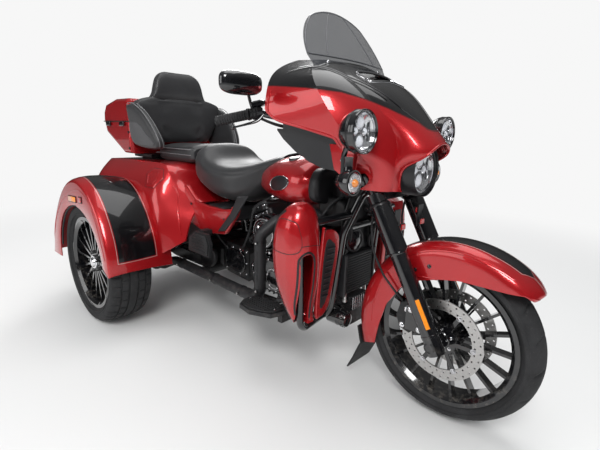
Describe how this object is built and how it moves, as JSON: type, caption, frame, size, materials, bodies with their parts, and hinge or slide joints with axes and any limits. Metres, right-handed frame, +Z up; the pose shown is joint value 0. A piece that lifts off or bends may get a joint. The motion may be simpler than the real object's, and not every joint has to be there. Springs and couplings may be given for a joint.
{
  "type": "touring motor tricycle",
  "caption": "Touring trike with one steered front wheel, driven rear wheels, fork-mounted fairing, vee engine, two seats, luggage case and rear trunk",
  "frame": {"origin": "on the ground, under the centre of the overall box, steering straight ahead", "axes": "+X forward, +Y to the rider's left, +Z up"},
  "size_m": [2.67, 1.39, 1.495],
  "materials": {
    "black_gloss": "gloss black powder coat",
    "black_satin": "satin black powder coat",
    "red_gloss": "gloss red over metal flake",
    "steel": "drilled, ground faces",
    "cast_alloy": "machined edges",
    "tyre": "matt",
    "rubber": "matt",
    "upholstery": "smooth black vinyl",
    "smoke_screen": "smoked clear sheet",
    "lamp": "clear lens over a bright bowl",
    "red_lens": "red lens",
    "black_plastic": "grained"
  },
  "bodies": {
    "chassis": {"frame_backbone": "black_gloss", "frame_cradle": "black_gloss", "crankcase": "black_satin", "cylinders": "black_satin", "engine_covers": "black_gloss", "air_cleaner": "black_gloss", "exhaust": "black_satin", "regulator": "cast_alloy", "fuel_tank": "red_gloss", "rider_seat": "upholstery", "passenger_seat": "upholstery", "backrest": "upholstery", "arm_pads": "upholstery", "rear_body": "red_gloss", "trunk_tub": "black_plastic", "rear_bumper": "black_gloss", "tail_lamps": "red_lens", "rear_fenders": "red_gloss", "rear_axle": "black_satin", "case_base": "red_gloss", "case_rails": "black_satin", "side_covers": "red_gloss", "engine_guard": "black_gloss", "lower_fairings": "red_gloss", "footboards": "black_satin"},
    "steering": {"fork": "black_gloss", "calipers": "black_satin", "front_fender": "red_gloss", "fender_flap": "rubber", "brake_hoses": "rubber", "fairing": "red_gloss", "dash": "black_plastic", "windshield": "smoke_screen", "headlamp": "lamp", "aux_lamps": "lamp", "turn_signals": "black_satin", "handlebar": "black_gloss", "mirrors": "black_gloss"},
    "front_wheel": {"front_wheel": "black_gloss", "front_tyre": "tyre", "front_discs": "steel"},
    "rear_wheel_right": {"rear_wheel_right": "black_gloss", "rear_tyre_right": "tyre"},
    "rear_wheel_left": {"rear_wheel_left": "black_gloss", "rear_tyre_left": "tyre"},
    "case_lid": {"case_lid": "red_gloss"},
    "trunk_hatch": {"trunk_hatch": "red_gloss"}
  },
  "joints": [
    {"name": "steering", "type": "hinge", "parent": "chassis", "child": "steering", "pos_m": [1.116, 0, 0], "axis": [-0.4384, 0, 0.8988], "range_deg": [-30, 30]},
    {"name": "front_wheel_spin", "type": "hinge", "parent": "steering", "child": "front_wheel", "pos_m": [1.016, 0, 0.319], "axis": [0, 1, 0], "continuous": true},
    {"name": "rear_wheel_right_spin", "type": "hinge", "parent": "chassis", "child": "rear_wheel_right", "pos_m": [-0.654, -0.566, 0.325], "axis": [0, 1, 0], "continuous": true},
    {"name": "rear_wheel_left_spin", "type": "hinge", "parent": "chassis", "child": "rear_wheel_left", "pos_m": [-0.654, 0.566, 0.325], "axis": [0, 1, 0], "continuous": true},
    {"name": "case_lid_hinge", "type": "hinge", "parent": "chassis", "child": "case_lid", "pos_m": [-1.05, 0.3, 1.06615], "axis": [-1, 0, 0], "range_deg": [0, 80]},
    {"name": "trunk_hatch_hinge", "type": "hinge", "parent": "chassis", "child": "trunk_hatch", "pos_m": [-1.3115, 0, 0.79], "axis": [0, 1, 0], "range_deg": [0, 80]}
  ]
}
